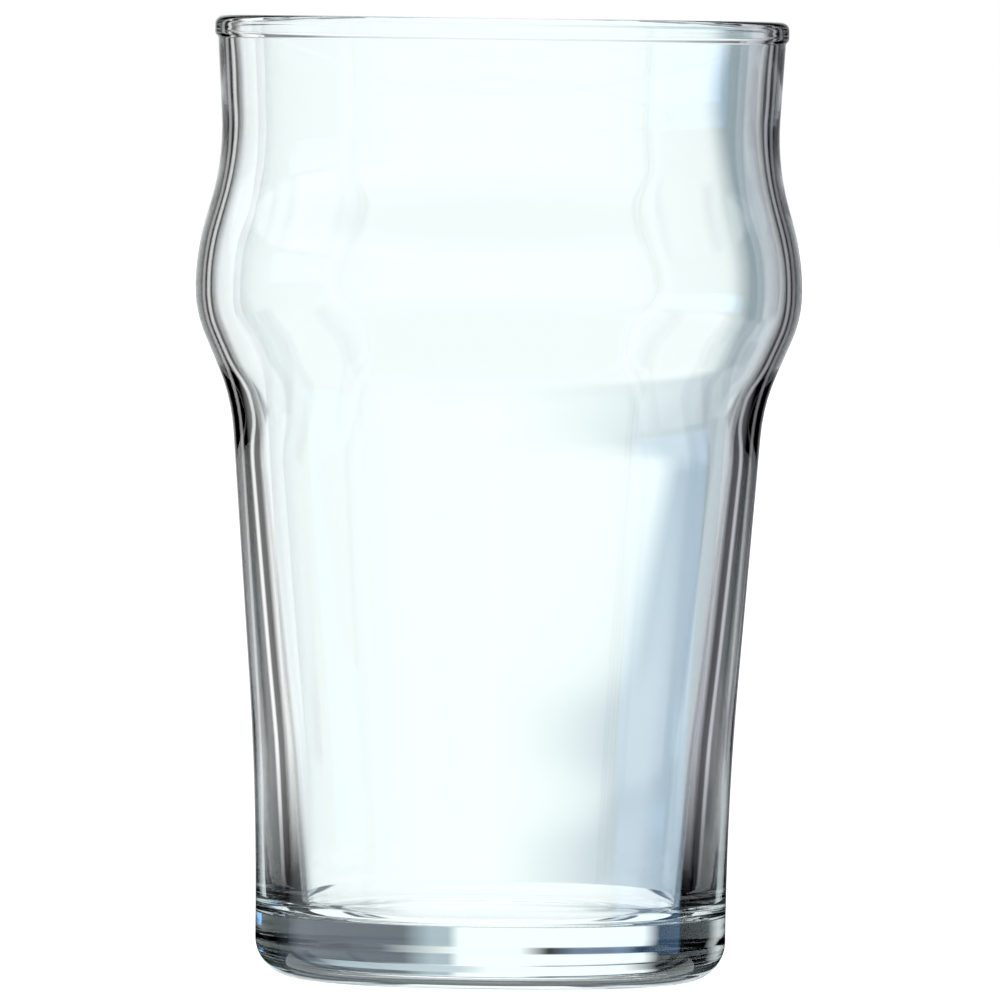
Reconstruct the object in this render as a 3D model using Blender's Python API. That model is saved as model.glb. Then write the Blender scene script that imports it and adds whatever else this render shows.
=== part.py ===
"""A nonic pint glass: a clear tumbler with a stacking bulge and a thick base.

The glass is one pressed and blown body, so it is one object. Its half profile is a closed
outline of corners with blend radii, turned about Z with a Screw modifier.

Units are metres. +Z is up. The origin is the centre of the face the glass rests on.
"""

import math

import bmesh
import bpy

MM = 0.001

# Driving dimensions
HEIGHT = 146.0 * MM
BASE_RADIUS = 35.75 * MM
BULGE_RADIUS = 46.1 * MM
RIM_RADIUS = 43.6 * MM
FLOOR_HEIGHT = 9.4 * MM           # glass under the drink, at the middle
RIM_THICKNESS = 2.85 * MM         # the rim is melted into a round bead
BEAD_STEP = 0.5 * MM              # the bead stands this proud of the wall below it
BULGE_WALL = 2.45 * MM
RING_INNER_RADIUS = 25.5 * MM     # inner edge of the ring that the glass rests on
PUSH_UP = 1.3 * MM                # the underside rises this far at the middle

# Heights along the outer wall
BASE_TAPER_HEIGHT = 26.7 * MM     # the straight base turns into the tapered body
BULGE_FOOT_HEIGHT = 87.9 * MM     # the taper turns out to the bulge
BULGE_LOW_HEIGHT = 101.0 * MM
BULGE_HIGH_HEIGHT = 110.1 * MM
NECK_HEIGHT = 124.2 * MM

# Resolution of the turned body
TURN_STEPS = 48
ARC_STEP = math.radians(14.0)
MERGE_DISTANCE = 1e-5

GLASS_COLOUR = (0.90, 0.95, 0.95, 1.0)
GLASS_ROUGHNESS = 0.02
GLASS_IOR = 1.52


def outer_corners():
    """Corners of the outer side, from the rim down to the resting face: radius, height, blend."""
    wall_top_radius = RIM_RADIUS - BEAD_STEP
    return [
        (RIM_RADIUS, HEIGHT, 1.4 * MM),
        (RIM_RADIUS, HEIGHT - 2.8 * MM, 0.8 * MM),
        (wall_top_radius, HEIGHT - 3.4 * MM, 0.5 * MM),
        (BULGE_RADIUS - 4.1 * MM, NECK_HEIGHT, 40.0 * MM),
        (BULGE_RADIUS, BULGE_HIGH_HEIGHT, 36.0 * MM),
        (BULGE_RADIUS, BULGE_LOW_HEIGHT, 18.2 * MM),
        (BULGE_RADIUS - 5.65 * MM, BULGE_FOOT_HEIGHT, 30.0 * MM),
        (BASE_RADIUS, BASE_TAPER_HEIGHT, 520.0 * MM),
        (BASE_RADIUS, 0.0, 6.1 * MM),
    ]


def underside_corners():
    """Corners of the underside, from the resting ring in to the push-up's middle."""
    return [
        (RING_INNER_RADIUS, 0.0, 1.2 * MM),
        (RING_INNER_RADIUS - 2.2 * MM, 0.8 * MM, 3.0 * MM),
        (0.0, PUSH_UP, 0.0),
    ]


def inner_corners():
    """Corners of the inside, from the middle of the floor up to the rim."""
    bulge_inner_radius = BULGE_RADIUS - BULGE_WALL
    rim_inner_radius = RIM_RADIUS - RIM_THICKNESS
    return [
        (0.0, FLOOR_HEIGHT, 0.0),
        (BASE_RADIUS - 6.95 * MM, FLOOR_HEIGHT, 3.2 * MM),
        (BASE_RADIUS - 5.25 * MM, BASE_TAPER_HEIGHT + 5.5 * MM, 250.0 * MM),
        (BULGE_RADIUS - 9.25 * MM, BULGE_FOOT_HEIGHT - 1.9 * MM, 40.0 * MM),
        (bulge_inner_radius, BULGE_LOW_HEIGHT + 0.6 * MM, 16.0 * MM),
        (bulge_inner_radius, BULGE_HIGH_HEIGHT - 0.5 * MM, 31.0 * MM),
        (BULGE_RADIUS - 7.15 * MM, NECK_HEIGHT + 2.3 * MM, 57.0 * MM),
        (rim_inner_radius, HEIGHT - 1.6 * MM, 4.0 * MM),
        (rim_inner_radius, HEIGHT, 1.4 * MM),
    ]


def blended(corners):
    """Return the (radius, height) points of the outline, with an arc at each blended corner."""
    points = [corners[0][:2]]
    for before, corner, after in zip(corners, corners[1:], corners[2:]):
        points += corner_arc(before, corner, after)
    points.append(corners[-1][:2])
    return points


def corner_arc(before, corner, after):
    """Return the points of the arc that rounds one corner, tangent to both of its sides."""
    x, z, radius = corner
    angle_in = math.atan2(z - before[1], x - before[0])
    angle_out = math.atan2(after[1] - z, after[0] - x)
    turn = math.remainder(angle_out - angle_in, math.tau)
    if radius == 0.0 or turn == 0.0:
        return [(x, z)]
    side = math.copysign(1.0, turn)
    tangent = radius * math.tan(abs(turn) / 2)
    centre_x = x - tangent * math.cos(angle_in) - side * radius * math.sin(angle_in)
    centre_z = z - tangent * math.sin(angle_in) + side * radius * math.cos(angle_in)
    steps = max(2, math.ceil(abs(turn) / ARC_STEP))
    points = []
    for step in range(steps + 1):
        direction = angle_in + turn * step / steps
        points.append((
            centre_x + side * radius * math.sin(direction),
            centre_z - side * radius * math.cos(direction),
        ))
    return points


def glass_material():
    material = bpy.data.materials.new("clear_glass")
    material.use_nodes = True
    shader = material.node_tree.nodes["Principled BSDF"]
    shader.inputs["Base Color"].default_value = GLASS_COLOUR
    shader.inputs["Roughness"].default_value = GLASS_ROUGHNESS
    shader.inputs["Metallic"].default_value = 0.0
    shader.inputs["IOR"].default_value = GLASS_IOR
    shader.inputs["Transmission Weight"].default_value = 1.0
    return material


def profile_mesh():
    """Make the half profile as a chain of edges in the XZ plane, ending on the axis both times."""
    profile = blended(inner_corners() + outer_corners() + underside_corners())
    outline = bmesh.new()
    verts = [outline.verts.new((radius, 0.0, height)) for radius, height in profile]
    for start, end in zip(verts, verts[1:]):
        outline.edges.new((start, end))
    mesh = bpy.data.meshes.new("tumbler")
    outline.to_mesh(mesh)
    outline.free()
    return mesh


def tumbler():
    """The whole glass: the closed profile turned once about Z."""
    body = bpy.data.objects.new("tumbler", profile_mesh())
    bpy.context.collection.objects.link(body)
    body.data.materials.append(glass_material())
    turned = body.modifiers.new("turned", "SCREW")
    turned.axis = "Z"
    turned.angle = math.tau
    turned.steps = TURN_STEPS
    turned.render_steps = TURN_STEPS
    turned.use_merge_vertices = True
    turned.merge_threshold = MERGE_DISTANCE
    turned.use_smooth_shade = True
    return body


def clear_scene():
    for existing in list(bpy.data.objects):
        bpy.data.objects.remove(existing)


clear_scene()
tumbler()
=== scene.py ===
"""Looks for the nonic pint glass: one body of clear glass in a bright-field product studio.

The glass is the CAD profile turned again at a fine resolution, so that its edges refract
cleanly. The studio is a procedural world: a lit backdrop between a black flag and a slate
one, with a small cool softbox on the right. A black card with one strip of light stands
beside each wall and draws the dark and light lines along it. The camera sees neither: it
sees plain white behind the glass.

Units are metres, +Z up, and the glass stands on z = 0. Azimuths are in degrees from +Y,
positive towards +X. Elevations are in degrees above the horizon.
"""

import math

import bpy
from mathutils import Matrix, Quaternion, Vector


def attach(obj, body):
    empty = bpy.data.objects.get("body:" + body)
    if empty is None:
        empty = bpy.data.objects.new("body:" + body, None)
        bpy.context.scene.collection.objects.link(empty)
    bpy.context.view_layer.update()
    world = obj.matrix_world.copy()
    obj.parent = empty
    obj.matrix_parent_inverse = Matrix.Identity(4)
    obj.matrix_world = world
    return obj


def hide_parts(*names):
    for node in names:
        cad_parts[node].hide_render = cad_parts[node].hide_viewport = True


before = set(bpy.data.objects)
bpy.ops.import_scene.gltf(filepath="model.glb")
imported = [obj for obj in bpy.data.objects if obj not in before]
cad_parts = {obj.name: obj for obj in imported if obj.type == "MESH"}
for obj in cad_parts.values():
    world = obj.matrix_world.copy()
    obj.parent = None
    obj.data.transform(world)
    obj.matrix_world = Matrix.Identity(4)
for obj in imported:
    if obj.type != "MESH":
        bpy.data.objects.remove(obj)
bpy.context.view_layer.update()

MM = 0.001

# Driving dimensions, the same as the CAD's
HEIGHT = 146.0 * MM
BASE_RADIUS = 35.75 * MM
BULGE_RADIUS = 46.1 * MM
RIM_RADIUS = 43.6 * MM
FLOOR_HEIGHT = 9.4 * MM
RIM_THICKNESS = 2.85 * MM
BEAD_STEP = 0.5 * MM
BULGE_WALL = 2.45 * MM
RING_INNER_RADIUS = 25.5 * MM
PUSH_UP = 1.3 * MM
BASE_TAPER_HEIGHT = 26.7 * MM
BULGE_FOOT_HEIGHT = 87.9 * MM
BULGE_LOW_HEIGHT = 101.0 * MM
BULGE_HIGH_HEIGHT = 110.1 * MM
NECK_HEIGHT = 124.2 * MM

# Resolution of the fine body
TURN_STEPS = 360
ARC_STEP = math.radians(4.0)
LONGEST_STRAIGHT = 2.0 * MM

# The camera
SENSOR_WIDTH = 36.0                 # millimetres
LENS = 556.8                        # millimetres
CAMERA_PLACE = Vector((0.0006, -2.35, 0.145))
CAMERA_TARGET = Vector((0.0006, 0.0, 0.0728))
CAMERA_ROLL = math.radians(0.76)

# The studio's colours
BLACK = (0.0, 0.0, 0.0)
BACKDROP = (1.0, 1.08, 1.07)
PALE_SLATE = (0.6, 0.7, 0.75)
SLATE = (0.4, 0.5, 0.55)
DEEP_SLATE = (0.1, 0.12, 0.15)
COOL = (0.15, 0.2, 0.3)
OPEN_ROOM = (0.92, 0.99, 0.98)
DIM_ROOM = (0.10, 0.11, 0.12)
CAMERA_BACKGROUND = (1.0, 1.0, 1.0)

# A lit backdrop between a black flag on the left and a slate one on the right, as bands
# across the azimuth: (azimuth, colour)
LEVEL_BANDS = [
    (-60.0, BLACK),
    (-35.0, BLACK),
    (-30.0, BACKDROP),
    (5.0, BACKDROP),
    (7.0, SLATE),
    (10.0, SLATE),
    (15.0, DEEP_SLATE),
    (40.0, DEEP_SLATE),
    (60.0, BLACK),
]
LOW_BANDS = [
    (-60.0, BLACK),
    (-35.0, BLACK),
    (-25.0, BACKDROP),
    (0.0, BACKDROP),
    (5.0, PALE_SLATE),
    (30.0, SLATE),
    (40.0, DEEP_SLATE),
    (60.0, BLACK),
]
HIGH_BANDS = [
    (-60.0, BLACK),
    (-30.0, BLACK),
    (-25.0, COOL),
    (-15.0, COOL),
    (-10.0, BLACK),
    (-5.0, BACKDROP),
    (5.0, BACKDROP),
    (20.0, DEEP_SLATE),
    (60.0, BLACK),
]
BAND_SPAN = 60.0                    # the bands above cover this much to each side
LEVEL_TO_LOW = (-4.5, -6.5)         # elevations between which the low bands take over
LEVEL_TO_HIGH = (6.6, 8.2)          # and the high bands, which the thick base shows mirrored

# The rest of the room, all the way round
ROUND_BANDS = [
    (-180.0, OPEN_ROOM),
    (-72.0, OPEN_ROOM),
    (-60.0, BLACK),
    (66.0, BLACK),
    (110.0, DIM_ROOM),
    (130.0, (0.85, 0.92, 0.91)),
    (180.0, OPEN_ROOM),
]

# The steep directions repeat this pattern every 45 degrees
STEEP_PERIOD = 45.0
STEEP_BANDS = [
    (0.0, BACKDROP),
    (12.0, BACKDROP),
    (14.0, DEEP_SLATE),
    (18.0, DEEP_SLATE),
    (20.0, PALE_SLATE),
    (22.5, PALE_SLATE),
]
LOW_TO_STEEP = (-12.8, -14.5)
FRONT_AZIMUTHS = (100.0, 115.0)     # past these, the steep directions see the open room
FLOOR_ELEVATIONS = (-50.0, -60.0)   # below this, the pale table fills the view
SKY_ELEVATIONS = (16.0, 28.0)       # the backdrop's upper edge
CEILING_ELEVATIONS = (50.0, 60.0)
CEILING_COLOUR = (1.3, 1.3, 1.3)

SOFTBOX_AZIMUTHS = (72.0, 75.0, 116.0, 119.0)
SOFTBOX_ELEVATIONS = (-12.0, -10.5, -2.8, -1.8)
SOFTBOX_COLOUR = (0.5, 1.1, 2.0)

# A black card stands beside each wall and follows its outline. It has a soft inner edge, one
# strip of light, and the open room beyond it: (millimetres outside the wall, brightness)
CARD_DEPTH = 5.0 * MM               # behind the glass's axis
CARD_LOW = -10.0 * MM
CARD_HIGH = 160.0 * MM
CARD_ROW = 3.0 * MM
CARD_FADE = (10.0 * MM, 30.0 * MM)  # the card is black below, fully lit above
CARD_STRIPS = [
    (0.0, 1.0),
    (3.0, 0.0),
    (6.0, 0.0),
    (7.0, 1.0),
    (8.0, 1.0),
    (9.0, 0.0),
    (12.0, 0.0),
    (16.0, 1.0),
    (40.0, 1.5),
]
LEFT_LIGHT = (1.0, 1.0, 1.0)
RIGHT_LIGHT = (0.5, 0.5, 0.55)      # dimmer and cooler


def outer_corners():
    """Corners of the outer side, from the rim down to the resting face: radius, height, blend."""
    wall_top_radius = RIM_RADIUS - BEAD_STEP
    return [
        (RIM_RADIUS, HEIGHT, 1.4 * MM),
        (RIM_RADIUS, HEIGHT - 2.8 * MM, 0.8 * MM),
        (wall_top_radius, HEIGHT - 3.4 * MM, 0.5 * MM),
        (BULGE_RADIUS - 4.1 * MM, NECK_HEIGHT, 40.0 * MM),
        (BULGE_RADIUS, BULGE_HIGH_HEIGHT, 36.0 * MM),
        (BULGE_RADIUS, BULGE_LOW_HEIGHT, 18.2 * MM),
        (BULGE_RADIUS - 5.65 * MM, BULGE_FOOT_HEIGHT, 30.0 * MM),
        (BASE_RADIUS, BASE_TAPER_HEIGHT, 520.0 * MM),
        (BASE_RADIUS, 0.0, 6.1 * MM),
    ]


def underside_corners():
    """Corners of the underside, from the resting ring in to the push-up's middle."""
    return [
        (RING_INNER_RADIUS, 0.0, 1.2 * MM),
        (RING_INNER_RADIUS - 2.2 * MM, 0.8 * MM, 3.0 * MM),
        (0.0, PUSH_UP, 0.0),
    ]


def inner_corners():
    """Corners of the inside, from the middle of the floor up to the rim."""
    bulge_inner_radius = BULGE_RADIUS - BULGE_WALL
    rim_inner_radius = RIM_RADIUS - RIM_THICKNESS
    return [
        (0.0, FLOOR_HEIGHT, 0.0),
        (BASE_RADIUS - 6.95 * MM, FLOOR_HEIGHT, 3.2 * MM),
        (BASE_RADIUS - 5.25 * MM, BASE_TAPER_HEIGHT + 5.5 * MM, 250.0 * MM),
        (BULGE_RADIUS - 9.25 * MM, BULGE_FOOT_HEIGHT - 1.9 * MM, 40.0 * MM),
        (bulge_inner_radius, BULGE_LOW_HEIGHT + 0.6 * MM, 16.0 * MM),
        (bulge_inner_radius, BULGE_HIGH_HEIGHT - 0.5 * MM, 31.0 * MM),
        (BULGE_RADIUS - 7.15 * MM, NECK_HEIGHT + 2.3 * MM, 57.0 * MM),
        (rim_inner_radius, HEIGHT - 1.6 * MM, 4.0 * MM),
        (rim_inner_radius, HEIGHT, 1.4 * MM),
    ]


def corner_arc(before, corner, after):
    """Return the points of the arc that rounds one corner, tangent to both of its sides."""
    x, z, radius = corner
    angle_in = math.atan2(z - before[1], x - before[0])
    angle_out = math.atan2(after[1] - z, after[0] - x)
    turn = math.remainder(angle_out - angle_in, math.tau)
    if radius == 0.0 or turn == 0.0:
        return [(x, z)]
    side = math.copysign(1.0, turn)
    tangent = radius * math.tan(abs(turn) / 2)
    centre_x = x - tangent * math.cos(angle_in) - side * radius * math.sin(angle_in)
    centre_z = z - tangent * math.sin(angle_in) + side * radius * math.cos(angle_in)
    length = radius * abs(turn)
    steps = max(2, math.ceil(abs(turn) / ARC_STEP), math.ceil(length / LONGEST_STRAIGHT))
    points = []
    for step in range(steps + 1):
        direction = angle_in + turn * step / steps
        points.append((
            centre_x + side * radius * math.sin(direction),
            centre_z - side * radius * math.cos(direction),
        ))
    return points


def fine_profile():
    """Return the (radius, height) points of the outline, with arcs and long sides divided."""
    corners = inner_corners() + outer_corners() + underside_corners()
    points = [corners[0][:2]]
    for before, corner, after in zip(corners, corners[1:], corners[2:]):
        points += corner_arc(before, corner, after)
    points.append(corners[-1][:2])
    divided = points[:1]
    for start, end in zip(points, points[1:]):
        length = math.dist(start, end)
        if length < 1e-6:
            continue
        pieces = math.ceil(length / LONGEST_STRAIGHT)
        for piece in range(1, pieces + 1):
            share = piece / pieces
            divided.append((
                start[0] + (end[0] - start[0]) * share,
                start[1] + (end[1] - start[1]) * share,
            ))
    return divided


def glass_mesh():
    """Turn the profile about Z into one closed mesh, with a single vertex at each pole."""
    profile = fine_profile()
    ring = profile[1:-1]
    verts = [(0.0, 0.0, profile[0][1])]
    for radius, height in ring:
        for step in range(TURN_STEPS):
            angle = math.tau * step / TURN_STEPS
            verts.append((radius * math.cos(angle), radius * math.sin(angle), height))
    verts.append((0.0, 0.0, profile[-1][1]))
    last = len(verts) - 1
    faces = []
    for step in range(TURN_STEPS):
        after = (step + 1) % TURN_STEPS
        faces.append((0, 1 + step, 1 + after))
        for row in range(len(ring) - 1):
            low = 1 + row * TURN_STEPS
            high = low + TURN_STEPS
            faces.append((low + step, high + step, high + after, low + after))
        bottom = 1 + (len(ring) - 1) * TURN_STEPS
        faces.append((bottom + step, last, bottom + after))
    mesh = bpy.data.meshes.new("tumbler_glass")
    mesh.from_pydata(verts, [], faces)
    mesh.validate()
    mesh.shade_smooth()
    return mesh


def glass_material():
    """Clear soda-lime glass: smooth to the eye, with a faint wash haze and mould waviness."""
    material = bpy.data.materials.new("clear_glass_fine")
    material.use_nodes = True
    tree = material.node_tree
    shader = tree.nodes["Principled BSDF"]
    shader.inputs["Base Color"].default_value = (0.985, 0.995, 0.995, 1.0)
    shader.inputs["Metallic"].default_value = 0.0
    shader.inputs["IOR"].default_value = 1.52
    shader.inputs["Transmission Weight"].default_value = 1.0

    place = tree.nodes.new("ShaderNodeTexCoord")
    haze = tree.nodes.new("ShaderNodeTexNoise")
    haze.inputs["Scale"].default_value = 60.0
    haze.inputs["Detail"].default_value = 3.0
    tree.links.new(place.outputs["Object"], haze.inputs["Vector"])
    spread = tree.nodes.new("ShaderNodeMapRange")
    spread.inputs["From Min"].default_value = 0.35
    spread.inputs["From Max"].default_value = 0.75
    spread.inputs["To Min"].default_value = 0.0
    spread.inputs["To Max"].default_value = 0.008
    tree.links.new(haze.outputs["Fac"], spread.inputs["Value"])
    tree.links.new(spread.outputs["Result"], shader.inputs["Roughness"])

    waves = tree.nodes.new("ShaderNodeTexNoise")
    waves.inputs["Scale"].default_value = 25.0
    waves.inputs["Detail"].default_value = 1.0
    tree.links.new(place.outputs["Object"], waves.inputs["Vector"])
    bump = tree.nodes.new("ShaderNodeBump")
    bump.inputs["Strength"].default_value = 0.04
    bump.inputs["Distance"].default_value = 0.0002
    tree.links.new(waves.outputs["Fac"], bump.inputs["Height"])
    tree.links.new(bump.outputs["Normal"], shader.inputs["Normal"])

    tint = tree.nodes.new("ShaderNodeVolumeAbsorption")
    tint.inputs["Color"].default_value = (0.70, 0.93, 0.92, 1.0)
    tint.inputs["Density"].default_value = 2.0
    tree.links.new(tint.outputs["Volume"], tree.nodes["Material Output"].inputs["Volume"])
    return material


def make_glass():
    glass = bpy.data.objects.new("tumbler_glass", glass_mesh())
    bpy.context.collection.objects.link(glass)
    glass.data.materials.append(glass_material())
    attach(glass, "root")
    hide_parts("tumbler")


def calculate(tree, operation, first, second=0.0, third=0.0):
    """Add a Math node and return its output. Each operand is a socket or a number."""
    node = tree.nodes.new("ShaderNodeMath")
    node.operation = operation
    for socket, value in zip(node.inputs, (first, second, third)):
        if isinstance(value, bpy.types.NodeSocket):
            tree.links.new(value, socket)
        else:
            socket.default_value = value
    return node.outputs["Value"]


def remap(tree, value, low, high, smooth=False):
    """Return value as 0 at low and 1 at high, kept between them."""
    node = tree.nodes.new("ShaderNodeMapRange")
    node.interpolation_type = "SMOOTHSTEP" if smooth else "LINEAR"
    node.inputs["From Min"].default_value = low
    node.inputs["From Max"].default_value = high
    tree.links.new(value, node.inputs["Value"])
    return node.outputs["Result"]


def bands(tree, azimuth, table):
    """Return the colour at an azimuth from a table of (azimuth, colour) rows."""
    low, high = table[0][0], table[-1][0]
    ramp = tree.nodes.new("ShaderNodeValToRGB")
    stops = ramp.color_ramp.elements
    while len(stops) < len(table):
        stops.new(1.0)
    for stop, (angle, colour) in zip(stops, table):
        stop.position = (angle - low) / (high - low)
        stop.color = (*colour, 1.0)
    tree.links.new(remap(tree, azimuth, low, high), ramp.inputs["Fac"])
    return ramp.outputs["Color"]


def blend(tree, share, first, second):
    """Return first where share is 0 and second where it is 1. Each is a socket or a colour."""
    node = tree.nodes.new("ShaderNodeMix")
    node.data_type = "RGBA"
    tree.links.new(share, node.inputs["Factor"])
    for name, value in (("A", first), ("B", second)):
        socket = [i for i in node.inputs if i.name == name and i.type == "RGBA"][0]
        if isinstance(value, bpy.types.NodeSocket):
            tree.links.new(value, socket)
        else:
            socket.default_value = (*value, 1.0)
    return [o for o in node.outputs if o.type == "RGBA"][0]


def folded(tree, azimuth, period):
    """Return the azimuth's distance to the nearest multiple of the period."""
    half = period / 2
    shifted = calculate(tree, "FLOORED_MODULO", calculate(tree, "ADD", azimuth, half), period)
    return calculate(tree, "ABSOLUTE", calculate(tree, "SUBTRACT", shifted, half))


def plateau(tree, value, edges):
    """Return 1 between the inner two of four edges, falling to 0 at the outer two."""
    rise = remap(tree, value, edges[0], edges[1], smooth=True)
    fall = remap(tree, value, edges[3], edges[2], smooth=True)
    return calculate(tree, "MULTIPLY", rise, fall)


def make_studio():
    """The room round the glass, as a world that depends on direction alone."""
    world = bpy.data.worlds.new("studio")
    bpy.context.scene.world = world
    world.use_nodes = True
    tree = world.node_tree
    place = tree.nodes.new("ShaderNodeTexCoord")
    split = tree.nodes.new("ShaderNodeSeparateXYZ")
    tree.links.new(place.outputs["Generated"], split.inputs["Vector"])
    x, y, z = split.outputs
    azimuth = calculate(tree, "DEGREES", calculate(tree, "ARCTAN2", x, y))
    elevation = calculate(tree, "DEGREES", calculate(tree, "ARCSINE", z))

    level = bands(tree, azimuth, LEVEL_BANDS)
    low = bands(tree, azimuth, LOW_BANDS)
    high = bands(tree, azimuth, HIGH_BANDS)
    wall = blend(tree, remap(tree, elevation, *LEVEL_TO_LOW, smooth=True), level, low)
    wall = blend(tree, remap(tree, elevation, *LEVEL_TO_HIGH, smooth=True), wall, high)
    far_round = bands(tree, azimuth, ROUND_BANDS)
    aside = calculate(tree, "ABSOLUTE", azimuth)
    wall = blend(tree, calculate(tree, "GREATER_THAN", aside, BAND_SPAN), wall, far_round)
    steep = bands(tree, folded(tree, azimuth, STEEP_PERIOD), STEEP_BANDS)
    steep = blend(tree, remap(tree, aside, *FRONT_AZIMUTHS, smooth=True), steep, OPEN_ROOM)
    wall = blend(tree, remap(tree, elevation, *LOW_TO_STEEP, smooth=True), wall, steep)
    wall = blend(tree, remap(tree, elevation, *FLOOR_ELEVATIONS, smooth=True), wall, BACKDROP)
    wall = blend(tree, remap(tree, elevation, *SKY_ELEVATIONS, smooth=True), wall, DIM_ROOM)
    wall = blend(
        tree, remap(tree, elevation, *CEILING_ELEVATIONS, smooth=True), wall, CEILING_COLOUR
    )
    softbox = calculate(
        tree, "MULTIPLY",
        plateau(tree, azimuth, SOFTBOX_AZIMUTHS),
        plateau(tree, elevation, SOFTBOX_ELEVATIONS),
    )
    wall = blend(tree, softbox, wall, SOFTBOX_COLOUR)

    lit = tree.nodes["Background"]
    tree.links.new(wall, lit.inputs["Color"])
    plain = tree.nodes.new("ShaderNodeBackground")
    plain.inputs["Color"].default_value = (*CAMERA_BACKGROUND, 1.0)
    ray = tree.nodes.new("ShaderNodeLightPath")
    choice = tree.nodes.new("ShaderNodeMixShader")
    tree.links.new(ray.outputs["Is Camera Ray"], choice.inputs["Fac"])
    tree.links.new(lit.outputs["Background"], choice.inputs[1])
    tree.links.new(plain.outputs["Background"], choice.inputs[2])
    tree.links.new(choice.outputs["Shader"], tree.nodes["World Output"].inputs["Surface"])


def make_floor():
    """A plain white table top. The glass refracts the studio instead of it."""
    mesh = bpy.data.meshes.new("studio_floor")
    half = 8.0
    corners = [(-half, -half, 0.0), (half, -half, 0.0), (half, half, 0.0), (-half, half, 0.0)]
    mesh.from_pydata(corners, [], [(0, 1, 2, 3)])
    floor = bpy.data.objects.new("studio_floor", mesh)
    bpy.context.collection.objects.link(floor)
    floor.visible_transmission = False
    floor.visible_glossy = False
    material = bpy.data.materials.new("white_table")
    material.use_nodes = True
    shader = material.node_tree.nodes["Principled BSDF"]
    shader.inputs["Base Color"].default_value = (0.9, 0.9, 0.9, 1.0)
    shader.inputs["Roughness"].default_value = 0.9
    shader.inputs["Specular IOR Level"].default_value = 0.0
    shader.inputs["Emission Color"].default_value = (1.0, 1.0, 1.0, 1.0)
    shader.inputs["Emission Strength"].default_value = 0.7
    floor.data.materials.append(material)


def outer_wall():
    """Return the points of the outer wall as (height, radius), from the base up."""
    corners = outer_corners()
    points = []
    for before, corner, after in zip(corners, corners[1:], corners[2:]):
        points += corner_arc(before, corner, after)
    return sorted((height, radius) for radius, height in points)


def wall_radius(wall, height):
    """Return the outer wall's radius at a height. It stays level past either end."""
    for (low, low_radius), (high, high_radius) in zip(wall, wall[1:]):
        if low <= height < high:
            return low_radius + (high_radius - low_radius) * (height - low) / (high - low)
    return wall[0][1] if height < wall[0][0] else wall[-1][1]


def make_card(name, side, light):
    """A card beside the glass that only the glass sees. side is -1 for the left and 1 for the right."""
    wall = outer_wall()
    rows = round((CARD_HIGH - CARD_LOW) / CARD_ROW) + 1
    width = len(CARD_STRIPS)
    verts = []
    colours = []
    for row in range(rows):
        height = CARD_LOW + row * CARD_ROW
        lit = min(1.0, max(0.0, (height - CARD_FADE[0]) / (CARD_FADE[1] - CARD_FADE[0])))
        radius = wall_radius(wall, height)
        for outside, brightness in CARD_STRIPS:
            verts.append((side * (radius + outside * MM), CARD_DEPTH, height))
            colours.append([lit * brightness * share for share in light] + [1.0])
    faces = []
    for row in range(rows - 1):
        for column in range(width - 1):
            low = row * width + column
            faces.append((low, low + 1, low + width + 1, low + width))
    mesh = bpy.data.meshes.new(name)
    mesh.from_pydata(verts, [], faces)
    shade = mesh.color_attributes.new("shade", "FLOAT_COLOR", "POINT")
    for entry, colour in zip(shade.data, colours):
        entry.color = colour
    material = bpy.data.materials.new(name)
    material.use_nodes = True
    tree = material.node_tree
    tree.nodes.clear()
    colour = tree.nodes.new("ShaderNodeAttribute")
    colour.attribute_name = "shade"
    glow = tree.nodes.new("ShaderNodeEmission")
    tree.links.new(colour.outputs["Color"], glow.inputs["Color"])
    output = tree.nodes.new("ShaderNodeOutputMaterial")
    tree.links.new(glow.outputs["Emission"], output.inputs["Surface"])
    card = bpy.data.objects.new(name, mesh)
    bpy.context.collection.objects.link(card)
    card.data.materials.append(material)
    card.visible_camera = False
    card.visible_diffuse = False
    card.visible_shadow = False


def make_camera():
    data = bpy.data.cameras.new("camera")
    data.sensor_width = SENSOR_WIDTH
    data.lens = LENS
    data.clip_end = 50.0
    camera = bpy.data.objects.new("camera", data)
    bpy.context.collection.objects.link(camera)
    aim = (CAMERA_TARGET - CAMERA_PLACE).to_track_quat("-Z", "Y")
    camera.rotation_mode = "QUATERNION"
    camera.rotation_quaternion = aim @ Quaternion((0.0, 0.0, 1.0), CAMERA_ROLL)
    camera.location = CAMERA_PLACE
    bpy.context.scene.camera = camera


def set_light_paths():
    """Enough bounces for rays that cross the thick base several times."""
    scene = bpy.context.scene
    scene.cycles.max_bounces = 32
    scene.cycles.transmission_bounces = 32
    scene.cycles.glossy_bounces = 16
    scene.cycles.blur_glossy = 0.0
    scene.view_settings.view_transform = "Standard"


make_glass()
make_studio()
make_floor()
make_card("studio_card_left", -1, LEFT_LIGHT)
make_card("studio_card_right", 1, RIGHT_LIGHT)
make_camera()
set_light_paths()
